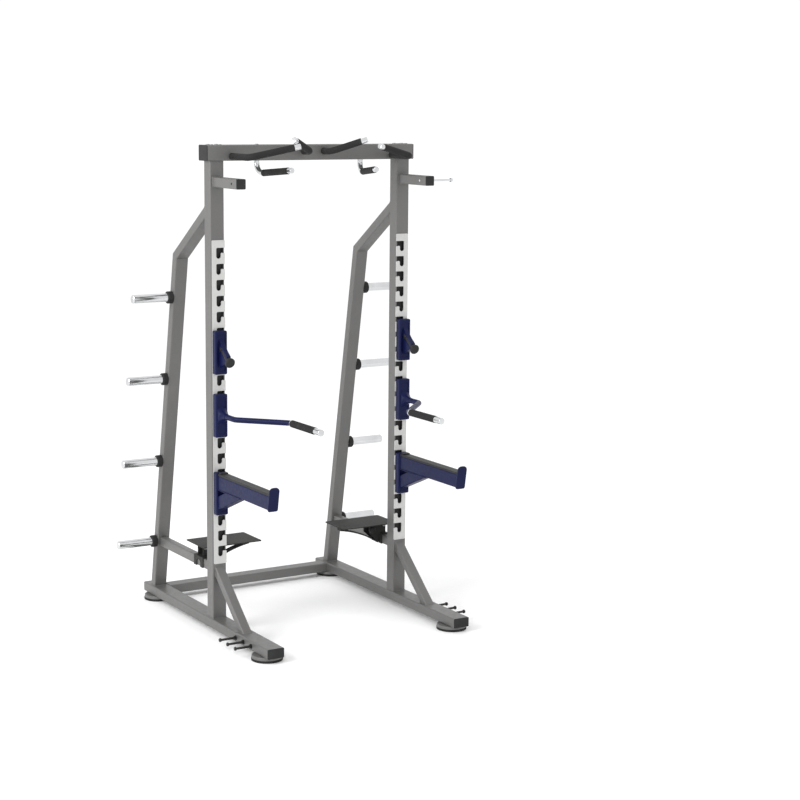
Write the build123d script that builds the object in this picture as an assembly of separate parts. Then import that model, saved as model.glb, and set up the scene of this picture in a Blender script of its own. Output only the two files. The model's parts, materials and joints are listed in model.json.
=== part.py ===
"""Half rack with plate storage: a welded and bolted steel frame, slotted wear plates,
lift-off bar hooks, dip handles and safety arms, fold-up spotter platforms and pull-up handles.

Millimetres. +X is the rack's right, -Y is its front (where the lifter stands), +Z is up.
While the pieces are made, Y = 0 is the front face of the uprights and Z = 0 is the floor.
Every piece is then moved along Y, so that the origin is the middle of the finished rack.
"""
from build123d import *
import math
import os

# ---------------------------------------------------------------- main frame
upright_spacing = 1078.0      # between the middles of the two uprights
frame_height = 2483.0         # floor to the top of the top beam
rail_clearance = 27.0         # floor to the underside of the base rails
rail_front_reach = 614.0      # base rail's steel ahead of the uprights' front faces
rail_back_reach = 853.0       # base rail's steel behind the uprights' front faces

rail_width, rail_height, rail_wall = 90.0, 50.0, 3.0
upright_width, upright_depth, upright_wall = 76.0, 70.0, 4.0
beam_depth, beam_height, beam_wall = 96.0, 78.0, 4.0
beam_overhang = 16.0          # top beam's steel past the uprights' outer faces
beam_front_lap = 10.0         # top beam's front face ahead of the uprights'
post_width, post_depth, post_wall = 70.0, 48.0, 3.0
crossmember_depth, crossmember_height, crossmember_wall = 78.0, 50.0, 3.0
side_rail_width, side_rail_height, side_rail_wall = 40.0, 50.0, 3.0
brace_width, brace_depth, brace_wall = 50.0, 40.0, 3.0
tube_corner = 6.0             # outside corner radius of every square tube
least_corner = 1.0            # smallest inside corner radius of a square tube
trim_length = 90.0            # tube made past the plane that trims it
past = 1.0                    # how far a cutting shape runs past the face it cuts

post_foot_y = 761.0           # rear post's middle line where it stands on the rail
post_bend_y, post_bend_drop = 435.5, 579.5       # where its middle line bends forward, below the top
post_top_drop = 330.0         # rack's top down to the middle of the post's upper leg at the upright
crossmember_front_y = 712.0
side_rail_bottom_z = 310.0
brace_top_z = 350.0           # front brace's upper face at the upright
brace_reach = 318.0           # front brace's upper face at the base rail, ahead of the upright

# ---------------------------------------------------------------- wear plates and slots
plate_width, plate_thickness, plate_corner = 70.0, 5.0, 5.0
plate_bottom_z = 365.0
slot_count, slot_pitch = 20, 80.0
slot_margin = 65.0            # plate's end to the middle of its nearest slot
slot_height = 54.0
pocket_width = 26.0
pocket_offset = 4.0           # pocket's middle, inboard of the upright's middle
mouth_height = 24.0
mouth_flare = 4.0             # how much the mouth's sill drops towards the plate's edge
mouth_lip_radius, mouth_crown_radius = 6.0, 7.0
stud_head_width, stud_head_height, stud_head_thickness = 38.0, 22.0, 8.0
stud_diameter, stud_root = 24.0, 4.0             # stud_root is the stud's length inside its block
stud_rest_gap = 0.3           # under a stud that hangs in its pocket
window_gap = 2.0              # between a stud's head and the window behind the slot
lift_travel = 28.0            # how far a hung attachment lifts in its pockets

# ---------------------------------------------------------------- attachments
block_width, block_depth, block_height = 66.0, 34.0, 220.0
block_corner = 7.0
block_gap = 0.5               # between a block and the wear plate
block_drop = 45.0             # block's lower end below the middle of its lowest slot
dish_width, dish_depth, dish_margin, dish_corner = 44.0, 3.0, 16.0, 12.0
hook_slot, dip_slot, safety_slot = 12, 8, 3      # lowest slot that each block uses

hook_peg_diameter, hook_peg_height, hook_peg_length = 26.0, 139.0, 108.0
hook_peg_droop = 36.0         # degrees below level
hook_ring_diameter, hook_ring_length, hook_ring_place = 34.0, 6.0, 20.0
hook_web_width, hook_web_cover = 22.0, 3.0       # cover is the web's height over the peg
hook_web_rise, hook_web_foot = 36.0, 34.0        # above the peg's root, above the block's end
hook_web_bend, hook_web_end = 45.0, 91.0         # along the peg
hook_web_bend_radius, hook_web_end_radius = 20.0, 6.0
hook_knob_diameter, hook_knob_thickness, hook_knob_round = 50.0, 16.0, 5.0
hook_knob_tilt = 18.0         # degrees that the knob looks down

dip_tube_diameter, dip_tube_wall = 28.0, 3.0
dip_height = 113.0            # dip tube's middle above its block's lower end
dip_straight = 145.5          # forward run to the first bend
dip_inset = 197.0             # how far inboard the grip lies
dip_grip_y, dip_tip_y = -395.0, -712.0
dip_bend_radius = 45.0
dip_grip_diameter, dip_ring_diameter, dip_ring_length = 34.0, 36.0, 6.0
dip_cap_diameter, dip_cap_length, dip_cap_wall, dip_cap_round = 33.0, 57.0, 4.0, 5.0
dip_flare_radius, dip_flare_end_radius, dip_flare_length = 44.0, 15.5, 60.0
dip_flare_sag = 7.0           # how hollow the flare's outline is

safety_width, safety_height, safety_wall = 50.0, 72.0, 4.0
safety_top = 206.0            # arm's top above its block's lower end
safety_reach = 556.0          # arm's length at its top
safety_end_lean = 10.0        # degrees that the end plate leans forward
safety_end_height, safety_end_thickness, safety_end_lip = 122.0, 6.0, 32.0
safety_end_width, safety_end_round, safety_end_corner = 54.0, 20.0, 10.0
safety_strip_thickness, safety_strip_round = 10.0, 3.0
safety_heel_height, safety_heel_length, safety_heel_inset = 16.0, 24.0, 4.0
safety_brace_depth, safety_brace_angle, safety_brace_drop = 66.0, 22.5, 101.0

# ---------------------------------------------------------------- pull-up handles and beam
handle_diameter, handle_wall = 28.0, 3.0
grip_diameter, grip_gap = 34.0, 1.0
bare_end = 32.0               # chrome tube left showing past each grip
plug_rim, plug_round, plug_length = 4.0, 3.0, 10.0
wide_spacing, wide_drop, wide_bend_radius = 922.0, 56.0, 40.0          # outer pair, below the top
wide_straight, wide_tip = 190.0, (-237.0, -87.0, 55.0)
close_spacing, close_drop, close_bend_radius = 116.0, 33.0, 60.0       # inner pair
close_straight, close_tip = 75.0, (152.0, -106.0, 62.0)
neutral_spacing, neutral_drop, neutral_bend_radius = 600.0, 66.0, 48.0 # lower pair
neutral_tip = (-60.0, -268.0, 24.0)
bolt_diameter, bolt_head_diameter, bolt_head_height, bolt_head_round = 12.0, 20.0, 4.0, 2.5
bolt_spread_x, bolt_spread_y, bolt_hole_gap = 46.0, 40.0, 0.5
bolt_end, handle_bolt_grip = 6.0, 14.0           # past the top plate, inside a pull-up tube
top_plate_thickness, top_plate_gap = 12.0, 0.5

# ---------------------------------------------------------------- accessory arms, horns, pegs
arm_size, arm_wall, arm_length, arm_drop = 50.0, 3.0, 262.0, 181.0      # arm_drop is below the top
arm_hole_y, arm_hole_gap = -209.0, 0.1
pin_diameter, pin_length, pin_head = 12.0, 198.0, 20.0
pin_head_length, pin_collar_length, pin_end = 10.0, 6.0, 3.0
horn_diameter, horn_wall, horn_length = 45.0, 4.0, 221.0
horn_spigot_diameter, horn_end_wall, horn_chamfer = 43.0, 8.0, 3.0
horn_heights = (336.0, 792.0, 1246.0, 1686.0)
collar_diameter, collar_length, collar_gap, collar_round = 64.0, 28.0, 0.2, 6.0
peg_diameter, peg_head_diameter, peg_head_length, peg_length = 12.0, 19.0, 9.0, 92.0
peg_count, peg_first_y, peg_pitch, peg_height, peg_round = 3, -272.0, 84.0, 50.0, 3.0

# ---------------------------------------------------------------- feet and caps
foot_inset, foot_diameter, foot_top_diameter = 95.0, 154.0, 150.0
foot_wall, foot_chamfer, foot_stud_diameter, foot_stud_grip = 4.0, 2.0, 20.0, 20.0
pad_diameter, pad_height, pad_round = 157.0, 12.0, 2.0
cap_thickness, cap_round, cap_plug, cap_plug_gap, cap_plug_wall = 4.0, 1.5, 18.0, 0.2, 3.0

# ---------------------------------------------------------------- fold-up platforms
platform_middle_y, platform_depth, platform_corner = 200.0, 212.0, 8.0
platform_inner_x, platform_outer_x = 248.0, 583.0
platform_top_z, platform_thickness = 432.0, 5.0
saddle_length, saddle_plate = 106.0, 5.0
arch_width, arch_height = 44.0, 38.0             # opening in both of the saddle's sides
cheek_spacing = 66.0          # over both cheeks
cheek_reach = 90.0            # cheeks' inner ends, inboard of the side rail's middle
cheek_over_lock, cheek_under_lock = 14.0, 22.0
hinge_z, hinge_pin_diameter, hinge_gap = 412.0, 12.0, 0.08
hinge_head_diameter, hinge_head_length, cheek_eye_radius = 20.0, 6.0, 12.0
lug_thickness, lug_gap, lug_inset = 5.0, 1.0, 2.0
lug_eye_radius, lug_under_lock = 12.0, 14.0
strut_width, strut_thickness, strut_gap, strut_toe_length = 36.0, 8.0, 0.5, 41.0
strut_foot_z, strut_middle, strut_tip = 309.0, (397.0, 368.0), (277.0, 400.0)  # its underside
lock_x, lock_z, lock_gap = 456.0, 392.0, 0.4
lock_knob_diameter, lock_knob_length, lock_knob_round, lock_knob_stand = 36.0, 20.0, 4.0, 8.0
lock_pin_diameter = 10.0

half_spacing = upright_spacing / 2
rail_top = rail_clearance + rail_height
beam_bottom = frame_height - beam_height
beam_half = half_spacing + upright_width / 2 + beam_overhang
post_bend_z, post_top_z = frame_height - post_bend_drop, frame_height - post_top_drop
arm_middle_z = frame_height - arm_drop
plate_top_z = plate_bottom_z + 2 * slot_margin + (slot_count - 1) * slot_pitch
block_back = -plate_thickness - block_gap
block_front = block_back - block_depth
rack_front = dip_tip_y
rack_back = rail_back_reach + cap_thickness
middle_shift = -(rack_front + rack_back) / 2

nodes = {}


def slot_z(index):
    """Height of the middle of a slot, counted from the lowest one."""
    return plate_bottom_z + slot_margin + index * slot_pitch


def keep(name, *shapes):
    """File the shapes under a node's name, moved to the finished rack's origin."""
    nodes[name] = [Pos(0, middle_shift, 0) * shape for shape in shapes]


def left_of(shape):
    return mirror(shape, about=Plane.YZ)


def block(x0, x1, y0, y1, z0, z1):
    """A box given by its limits on the three axes."""
    middle = Pos((x0 + x1) / 2, (y0 + y1) / 2, (z0 + z1) / 2)
    return middle * Box(abs(x1 - x0), abs(y1 - y0), abs(z1 - z0))


def rod(start, end, radius):
    """A round bar between two points."""
    run = Vector(*end) - Vector(*start)
    return extrude(Plane(start, z_dir=run) * Circle(radius), run.length)


def square_tube(start, end, width, depth, wall, across=(1, 0, 0)):
    """A hollow rectangular tube between two points. width lies along across."""
    run = Vector(*end) - Vector(*start)
    inner_corner = max(tube_corner - wall, least_corner)
    section = RectangleRounded(width, depth, tube_corner)
    section -= RectangleRounded(width - 2 * wall, depth - 2 * wall, inner_corner)
    return extrude(Plane(start, x_dir=across, z_dir=run) * section, run.length)


def trim(shape, point, away):
    """Cut off what lies past a plane, on the side that away points to."""
    return split(shape, bisect_by=Plane(point, z_dir=away), keep=Keep.BOTTOM)


def bent_tube(points, radius, outside, inside, start=0.0, end=0.0):
    """A round tube along a route with rounded corners, shortened at both ends."""
    route = [Vector(*point) for point in points]
    route[0] += (route[1] - route[0]).normalized() * start
    route[-1] += (route[-2] - route[-1]).normalized() * end
    if len(route) > 2:
        path = FilletPolyline(*route, radius=radius)
    else:
        path = Line(*route)
    section = Circle(outside / 2)
    if inside:
        section -= Circle(inside / 2)
    return sweep(Plane(path @ 0, z_dir=path % 0) * section, path)


# ================================================================ base
rail_middle_z = rail_clearance + rail_height / 2
rail = square_tube((half_spacing, -rail_front_reach, rail_middle_z),
                   (half_spacing, rail_back_reach, rail_middle_z),
                   rail_width, rail_height, rail_wall)
front_foot_y = -rail_front_reach - cap_thickness + foot_inset
back_foot_y = rail_back_reach + cap_thickness - foot_inset
for foot_y in (front_foot_y, back_foot_y):
    rail -= rod((half_spacing, foot_y, rail_clearance - past),
                (half_spacing, foot_y, rail_clearance + rail_wall + past),
                foot_stud_diameter / 2 + bolt_hole_gap / 2)
peg_places = [peg_first_y - index * peg_pitch for index in range(peg_count)]
rail_outer_x = half_spacing + rail_width / 2
for peg_y in peg_places:
    rail -= rod((rail_outer_x - 2 * rail_wall, peg_y, peg_height),
                (rail_outer_x + past, peg_y, peg_height), peg_diameter / 2)
keep("base_rail_right", rail)
keep("base_rail_left", left_of(rail))

crossmember_y = crossmember_front_y + crossmember_depth / 2
crossmember_z = rail_clearance + crossmember_height / 2
crossmember_x = half_spacing - rail_width / 2
crossmember = square_tube((-crossmember_x, crossmember_y, crossmember_z),
                          (crossmember_x, crossmember_y, crossmember_z),
                          crossmember_depth, crossmember_height, crossmember_wall, (0, 1, 0))
keep("rear_crossmember", crossmember)


def foot_pieces(x, y):
    """A levelling foot: a hollow steel cup with its screw, and a rubber pad under it."""
    cup_height = rail_clearance - pad_height
    shape = Cone(foot_diameter / 2, foot_top_diameter / 2, cup_height)
    room = Cone(foot_diameter / 2 - foot_wall, foot_top_diameter / 2 - foot_wall, cup_height)
    cup = Pos(x, y, pad_height + cup_height / 2) * chamfer(shape.edges().group_by(Axis.Z)[-1], foot_chamfer)
    cup -= Pos(x, y, pad_height + cup_height / 2 - foot_wall) * room
    stud_top = rail_clearance + rail_wall + foot_stud_grip
    cup += rod((x, y, rail_clearance - foot_wall), (x, y, stud_top), foot_stud_diameter / 2)
    pad = Pos(x, y, pad_height / 2) * Cylinder(pad_diameter / 2, pad_height)
    pad = fillet(pad.edges(), pad_round)
    return cup, pad


foot_places = [(side * half_spacing, y) for side in (-1, 1) for y in (front_foot_y, back_foot_y)]
feet = [foot_pieces(x, y) for x, y in foot_places]
keep("foot_cups", *[cup for cup, pad in feet])
keep("foot_pads", *[pad for cup, pad in feet])

# ================================================================ uprights and wear plates
pocket_x = half_spacing - pocket_offset
plate_inner_x = half_spacing - upright_width / 2
plate_outer_x = plate_inner_x + plate_width
pocket_radius = pocket_width / 2


def slot_cutter(z):
    """The hole in a wear plate: a pocket with a round bottom, open inboard at its top."""
    top, bottom = z + slot_height / 2, z - slot_height / 2
    sill = top - mouth_height
    pocket_in, pocket_out = pocket_x - pocket_radius, pocket_x + pocket_radius
    outline = Polyline(
        (pocket_out, bottom + pocket_radius), (pocket_out, top), (plate_inner_x - past, top),
        (plate_inner_x - past, sill - mouth_flare), (pocket_in, sill), (pocket_in, bottom + pocket_radius))
    outline += ThreePointArc((pocket_in, bottom + pocket_radius), (pocket_x, bottom),
                             (pocket_out, bottom + pocket_radius))
    face = make_face(outline)
    lip = face.vertices().filter_by(lambda v: abs(v.X - pocket_in) < 0.01 and abs(v.Y - sill) < 0.01)
    face = fillet(lip, mouth_lip_radius)
    crown = face.vertices().filter_by(lambda v: v.X > pocket_out - 0.01 and v.Y > top - 0.01)
    face = fillet(crown, mouth_crown_radius)
    wall_side = Plane((0, past, 0), x_dir=(1, 0, 0), z_dir=(0, -1, 0))
    return extrude(wall_side * face, plate_thickness + 2 * past)


upright = square_tube((half_spacing, upright_depth / 2, rail_top),
                      (half_spacing, upright_depth / 2, beam_bottom),
                      upright_width, upright_depth, upright_wall)
wear_plate = block(plate_inner_x, plate_outer_x, -plate_thickness, 0, plate_bottom_z, plate_top_z)
wear_plate = fillet(wear_plate.edges().filter_by(Axis.Y), plate_corner)
window_out = pocket_x + stud_head_width / 2 + window_gap
window_in = plate_inner_x + upright_wall + window_gap
window_half = slot_height / 2 + window_gap
windows, slots = [], []
for index in range(slot_count):
    z = slot_z(index)
    windows.append(block(window_in, window_out, -past, upright_wall + past, z - window_half, z + window_half))
    slots.append(slot_cutter(z))
upright -= windows
wear_plate -= slots
keep("upright_right", upright)
keep("upright_left", left_of(upright))
keep("wear_plate_right", wear_plate)
keep("wear_plate_left", left_of(wear_plate))

# ================================================================ rear posts, side rails, braces
post_foot = Vector(half_spacing, post_foot_y, rail_top)
post_bend = Vector(half_spacing, post_bend_y, post_bend_z)
post_top = Vector(half_spacing, upright_depth, post_top_z)
lower_run = (post_bend - post_foot).normalized()
lower_back = Vector(0, lower_run.Z, -lower_run.Y)
upper_run = (post_top - post_bend).normalized()
mitre = (lower_run + upper_run).normalized()

rear_post = square_tube(post_foot - lower_run * trim_length, post_bend + lower_run * trim_length,
                        post_width, post_depth, post_wall)
rear_post = trim(rear_post, (0, 0, rail_top), (0, 0, -1))
rear_post = trim(rear_post, post_bend, mitre)
post_top_leg = square_tube(post_bend - upper_run * trim_length, post_top + upper_run * trim_length,
                           post_width, post_depth, post_wall)
post_top_leg = trim(post_top_leg, post_bend, mitre * -1)
post_top_leg = trim(post_top_leg, post_top, (0, -1, 0))
keep("rear_post_right", rear_post)
keep("rear_post_left", left_of(rear_post))
keep("post_top_legs", post_top_leg, left_of(post_top_leg))


def post_middle_y(z):
    """Depth of the rear post's middle line at a height."""
    return post_foot.Y + (z - post_foot.Z) * lower_run.Y / lower_run.Z


side_rail_z = side_rail_bottom_z + side_rail_height / 2
side_rail_top = side_rail_bottom_z + side_rail_height
side_rail = square_tube((half_spacing, upright_depth, side_rail_z),
                        (half_spacing, post_middle_y(side_rail_z), side_rail_z),
                        side_rail_width, side_rail_height, side_rail_wall)
side_rail = trim(side_rail, post_foot - lower_back * (post_depth / 2), lower_back)
keep("side_rails", side_rail, left_of(side_rail))

brace_run = Vector(0, -brace_reach, rail_top - brace_top_z).normalized()
brace_out = Vector(0, brace_run.Z, -brace_run.Y)
brace_start = Vector(half_spacing, 0, brace_top_z) - brace_out * (brace_depth / 2)
brace_length = math.hypot(brace_reach, brace_top_z - rail_top)
brace = square_tube(brace_start - brace_run * trim_length, brace_start + brace_run * (brace_length + trim_length),
                    brace_width, brace_depth, brace_wall)
brace = trim(brace, (0, 0, 0), (0, 1, 0))
brace = trim(brace, (0, 0, rail_top), (0, 0, -1))
keep("front_braces", brace, left_of(brace))

# ================================================================ top beam and its bolts
beam_middle_y = beam_depth / 2 - beam_front_lap
beam_middle_z = beam_bottom + beam_height / 2
top_beam = square_tube((-beam_half, beam_middle_y, beam_middle_z), (beam_half, beam_middle_y, beam_middle_z),
                       beam_depth, beam_height, beam_wall, (0, 1, 0))
plate_room_x = upright_width - 2 * (upright_wall + top_plate_gap)
plate_room_y = upright_depth - 2 * (upright_wall + top_plate_gap)
bolt_hole_radius = (bolt_diameter + bolt_hole_gap) / 2


def button_bolt(x, y, bottom):
    """A bolt with a low round head, which stands in the top beam's upper face."""
    head = Pos(x, y, frame_height + bolt_head_height / 2) * Cylinder(bolt_head_diameter / 2, bolt_head_height)
    head = fillet(head.edges().group_by(Axis.Z)[-1], bolt_head_round)
    return head + rod((x, y, bottom), (x, y, frame_height), bolt_diameter / 2)


top_plates, beam_bolts = [], []
bolt_end_z = beam_bottom - top_plate_thickness - bolt_end
for side in (-1, 1):
    plate = Pos(side * half_spacing, upright_depth / 2, beam_bottom - top_plate_thickness) * extrude(
        RectangleRounded(plate_room_x, plate_room_y, tube_corner), top_plate_thickness)
    for step_x in (-0.5, 0.5):
        for step_y in (-0.5, 0.5):
            x = side * half_spacing + step_x * bolt_spread_x
            y = upright_depth / 2 + step_y * bolt_spread_y
            top_beam -= rod((x, y, bolt_end_z), (x, y, frame_height + past), bolt_hole_radius)
            plate -= rod((x, y, bolt_end_z), (x, y, frame_height), bolt_diameter / 2)
            beam_bolts.append(button_bolt(x, y, bolt_end_z))
    top_plates.append(plate)
for side in (-1, 1):
    x = side * neutral_spacing / 2
    top_beam -= rod((x, beam_middle_y, beam_middle_z), (x, beam_middle_y, frame_height + past), bolt_hole_radius)
    beam_bolts.append(button_bolt(x, beam_middle_y, frame_height - beam_wall - handle_bolt_grip))
keep("top_beam", top_beam)
keep("upright_top_plates", *top_plates)
keep("beam_bolts", *beam_bolts)


def end_cap(width, height, wall):
    """A plastic plug for a square tube. Its plate lies on +Z and its plug goes down into the tube."""
    plate = extrude(RectangleRounded(width, height, tube_corner), cap_thickness)
    plate = fillet(plate.edges().group_by(Axis.Z)[-1], cap_round)
    room = wall + cap_plug_gap
    inner_corner = max(tube_corner - room, least_corner)
    plug = extrude(RectangleRounded(width - 2 * room, height - 2 * room, inner_corner), -cap_plug)
    hollow = 2 * (room + cap_plug_wall)
    plug -= Pos(0, 0, -past) * extrude(Rectangle(width - hollow, height - hollow), -cap_plug)
    return plate + plug


def cap_at(cap, point, outwards, across):
    return Plane(point, x_dir=across, z_dir=outwards) * cap


rail_cap = end_cap(rail_width, rail_height, rail_wall)
beam_cap = end_cap(beam_depth, beam_height, beam_wall)
arm_cap = end_cap(arm_size, arm_size, arm_wall)
caps = []
for side in (-1, 1):
    x = side * half_spacing
    caps.append(cap_at(rail_cap, (x, -rail_front_reach, rail_middle_z), (0, -1, 0), (1, 0, 0)))
    caps.append(cap_at(rail_cap, (x, rail_back_reach, rail_middle_z), (0, 1, 0), (1, 0, 0)))
    caps.append(cap_at(beam_cap, (side * beam_half, beam_middle_y, beam_middle_z), (side, 0, 0), (0, 1, 0)))
    caps.append(cap_at(arm_cap, (x, -arm_length, arm_middle_z), (0, -1, 0), (1, 0, 0)))
keep("tube_end_caps", *caps)

# ================================================================ pull-up handles
wide_start = (wide_spacing / 2, -beam_front_lap, frame_height - wide_drop)
wide_turn = (wide_start[0], wide_start[1] - wide_straight, wide_start[2])
wide_route = [wide_start, wide_turn, tuple(a + b for a, b in zip(wide_turn, wide_tip))]
close_start = (close_spacing / 2, -beam_front_lap, frame_height - close_drop)
close_turn = (close_start[0], close_start[1] - close_straight, close_start[2])
close_route = [close_start, close_turn, tuple(a + b for a, b in zip(close_turn, close_tip))]
neutral_start = (neutral_spacing / 2, beam_middle_y, beam_bottom)
neutral_turn = (neutral_start[0], beam_middle_y, beam_bottom - neutral_drop)
neutral_route = [neutral_start, neutral_turn, tuple(a + b for a, b in zip(neutral_turn, neutral_tip))]
handle_inside = handle_diameter - 2 * handle_wall


def bend_length(radius, before, after):
    """How much of a run a rounded corner takes up."""
    return radius * math.tan(math.radians(before.get_angle(after)) / 2)


def handle_set(route, radius, grip_start):
    """A chrome tube, the rubber grip round it and the plug in its open end."""
    tube = bent_tube(route, radius, handle_diameter, handle_inside, end=plug_rim)
    grip = bent_tube(route, radius, grip_diameter, handle_diameter, grip_start, bare_end)
    tip, before = Vector(*route[-1]), Vector(*route[-2])
    out = (tip - before).normalized()
    plug = rod(tip - out * plug_rim, tip, handle_diameter / 2)
    plug = fillet(plug.edges().sort_by(lambda e: (e.center() - before).length)[-1], plug_round)
    plug += rod(tip - out * plug_length, tip - out * plug_rim, handle_inside / 2)
    return tube, grip, plug


wide_set = handle_set(wide_route, wide_bend_radius, grip_gap)
close_set = handle_set(close_route, close_bend_radius, grip_gap)
neutral_set = handle_set(neutral_route, neutral_bend_radius, grip_gap)
neutral_away = Vector(*neutral_tip).normalized()
neutral_bare = bend_length(neutral_bend_radius, Vector(0, 0, -1), neutral_away) + grip_gap
neutral_grip = bent_tube([Vector(*neutral_turn) + neutral_away * neutral_bare, neutral_route[-1]], 0,
                         grip_diameter, handle_diameter, 0, bare_end)
keep("wide_pull_up_tubes", wide_set[0], left_of(wide_set[0]))
keep("close_pull_up_tubes", close_set[0], left_of(close_set[0]))
keep("neutral_pull_up_tubes", neutral_set[0], left_of(neutral_set[0]))
right_grips = [wide_set[1], close_set[1], neutral_grip]
right_plugs = [wide_set[2], close_set[2], neutral_set[2]]
keep("pull_up_grips", *right_grips, *[left_of(grip) for grip in right_grips])
keep("pull_up_tube_plugs", *right_plugs, *[left_of(plug) for plug in right_plugs])

# ================================================================ accessory arms and pin
arm = square_tube((half_spacing, 0, arm_middle_z), (half_spacing, -arm_length, arm_middle_z),
                  arm_size, arm_size, arm_wall)
arm -= rod((half_spacing - arm_size, arm_hole_y, arm_middle_z),
           (half_spacing + arm_size, arm_hole_y, arm_middle_z), pin_diameter / 2 + arm_hole_gap)
keep("accessory_arms", arm, left_of(arm))


def pin_piece(x0, x1, diameter):
    return rod((x0, arm_hole_y, arm_middle_z), (x1, arm_hole_y, arm_middle_z), diameter / 2)


pin_start = half_spacing - arm_size / 2 - pin_end
pin_stop = pin_start + pin_length
arm_outer_x = half_spacing + arm_size / 2
pin = pin_piece(pin_start, pin_stop, pin_diameter)
pin += pin_piece(pin_stop - pin_head_length, pin_stop, pin_head)
pin += pin_piece(arm_outer_x, arm_outer_x + pin_collar_length, pin_head)
keep("accessory_pin", pin)

# ================================================================ plate horns and band pegs
post_outer_x = half_spacing + post_width / 2
horns, collars = [], []
for z in horn_heights:
    y = post_middle_y(z)
    shoulder_x = post_outer_x + collar_length
    horn = rod((shoulder_x, y, z), (post_outer_x + horn_length, y, z), horn_diameter / 2)
    horn = chamfer(horn.edges().group_by(Axis.X)[-1], horn_chamfer)
    horn += rod((post_outer_x, y, z), (shoulder_x, y, z), horn_spigot_diameter / 2)
    horn -= rod((post_outer_x - past, y, z), (post_outer_x + horn_length - horn_end_wall, y, z),
                horn_diameter / 2 - horn_wall)
    collar = rod((post_outer_x, y, z), (post_outer_x + collar_length, y, z), collar_diameter / 2)
    collar = fillet(collar.edges().group_by(Axis.X)[-1], collar_round)
    collar -= rod((post_outer_x - past, y, z), (post_outer_x + collar_length + past, y, z),
                  horn_spigot_diameter / 2 + collar_gap / 2)
    horns += [horn, left_of(horn)]
    collars += [collar, left_of(collar)]
keep("plate_horns", *horns)
keep("horn_collars", *collars)

pegs = []
for peg_y in peg_places:
    peg = rod((rail_outer_x - rail_wall, peg_y, peg_height), (rail_outer_x + peg_length, peg_y, peg_height),
              peg_diameter / 2)
    peg += rod((rail_outer_x + peg_length - peg_head_length, peg_y, peg_height),
               (rail_outer_x + peg_length, peg_y, peg_height), peg_head_diameter / 2)
    peg = fillet(peg.edges().group_by(Axis.X)[-1], peg_round)
    pegs += [peg, left_of(peg)]
keep("band_pegs", *pegs)


# ================================================================ hanging blocks
def hung_block(slot):
    """A rounded block with two T-headed studs, which hang in the pockets of the wear plate."""
    bottom = slot_z(slot) - block_drop
    x0, x1 = half_spacing - block_width / 2, half_spacing + block_width / 2
    shape = block(x0, x1, block_front, block_back, bottom, bottom + block_height)
    front_edges = shape.faces().sort_by(Axis.Y)[0].edges()
    upright_edges = shape.edges().filter_by(Axis.Y)
    shape = fillet(front_edges + upright_edges, block_corner)
    dish = Plane((half_spacing, block_front, bottom + block_height / 2), x_dir=(1, 0, 0), z_dir=(0, -1, 0))
    dish = dish * extrude(RectangleRounded(dish_width, block_height - 2 * dish_margin, dish_corner), -dish_depth)
    shape -= dish
    for used in (slot, slot + 2):
        stud_z = slot_z(used) - slot_height / 2 + stud_rest_gap + stud_diameter / 2
        shape += rod((pocket_x, block_back - stud_root, stud_z),
                     (pocket_x, block_gap + stud_head_thickness, stud_z), stud_diameter / 2)
        shape += block(pocket_x - stud_head_width / 2, pocket_x + stud_head_width / 2,
                       block_gap, block_gap + stud_head_thickness,
                       stud_z - stud_head_height / 2, stud_z + stud_head_height / 2)
    return shape, bottom


# ---------------------------------------------------------------- bar hooks
hook_block, hook_bottom = hung_block(hook_slot)
droop = math.radians(hook_peg_droop)
peg_axis = Vector(0, -math.cos(droop), -math.sin(droop))
peg_up = Vector(0, -math.sin(droop), math.cos(droop))
peg_radius = hook_peg_diameter / 2
peg_root = Vector(half_spacing, block_front, hook_bottom + hook_peg_height)
peg_end = peg_root + peg_axis * hook_peg_length
web_bend = peg_root + peg_axis * hook_web_bend + peg_up * (peg_radius + hook_web_cover)
web_end = peg_root + peg_axis * hook_web_end + peg_up * (peg_radius + hook_web_cover)
web_low = peg_root + peg_axis * (hook_web_end + hook_web_cover) - peg_up * (peg_radius + block_corner)
web_inside_y = block_front + block_corner
web_outline = Polyline((web_inside_y, peg_root.Z + hook_web_rise), (block_front, peg_root.Z + hook_web_rise),
                       (web_bend.Y, web_bend.Z), (web_end.Y, web_end.Z), (web_low.Y, web_low.Z),
                       (web_inside_y, hook_bottom + hook_web_foot), close=True)
web_plane = Plane((half_spacing - hook_web_width / 2, 0, 0), x_dir=(0, 1, 0), z_dir=(1, 0, 0))
web = extrude(web_plane * make_face(web_outline), hook_web_width)
web = fillet(web.edges().filter_by(Axis.X).sort_by(Axis.Y)[0:2], hook_web_end_radius)
bend_edge = web.edges().filter_by(Axis.X).sort_by(lambda e: (e.center() - web_bend).length)[0]
web = fillet(bend_edge, hook_web_bend_radius)
ring_start = peg_root + peg_axis * hook_ring_place
ring_end = ring_start + peg_axis * hook_ring_length
hook_ring = rod(ring_start, ring_end, hook_ring_diameter / 2)
hook_peg = rod(peg_root, peg_end, peg_radius) + hook_ring
hook_peg = trim(hook_peg, (0, block_front + dish_depth, 0), (0, 1, 0))
hook_block = hook_block + web - rod(peg_root, peg_end + peg_axis * trim_length, peg_radius) - hook_ring
tilt = math.radians(hook_knob_tilt)
knob_axis = Vector(0, -math.cos(tilt), -math.sin(tilt))
knob_middle = peg_end + peg_axis * (hook_knob_thickness / 2)
hook_knob = rod(knob_middle - knob_axis * (hook_knob_thickness / 2),
                knob_middle + knob_axis * (hook_knob_thickness / 2), hook_knob_diameter / 2)
hook_knob = fillet(hook_knob.edges(), hook_knob_round) - hook_peg - hook_block
keep("hook_block_right", hook_block)
keep("hook_block_left", left_of(hook_block))
keep("hook_peg_right", hook_peg)
keep("hook_peg_left", left_of(hook_peg))
keep("hook_knob_right", hook_knob)
keep("hook_knob_left", left_of(hook_knob))

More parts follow.
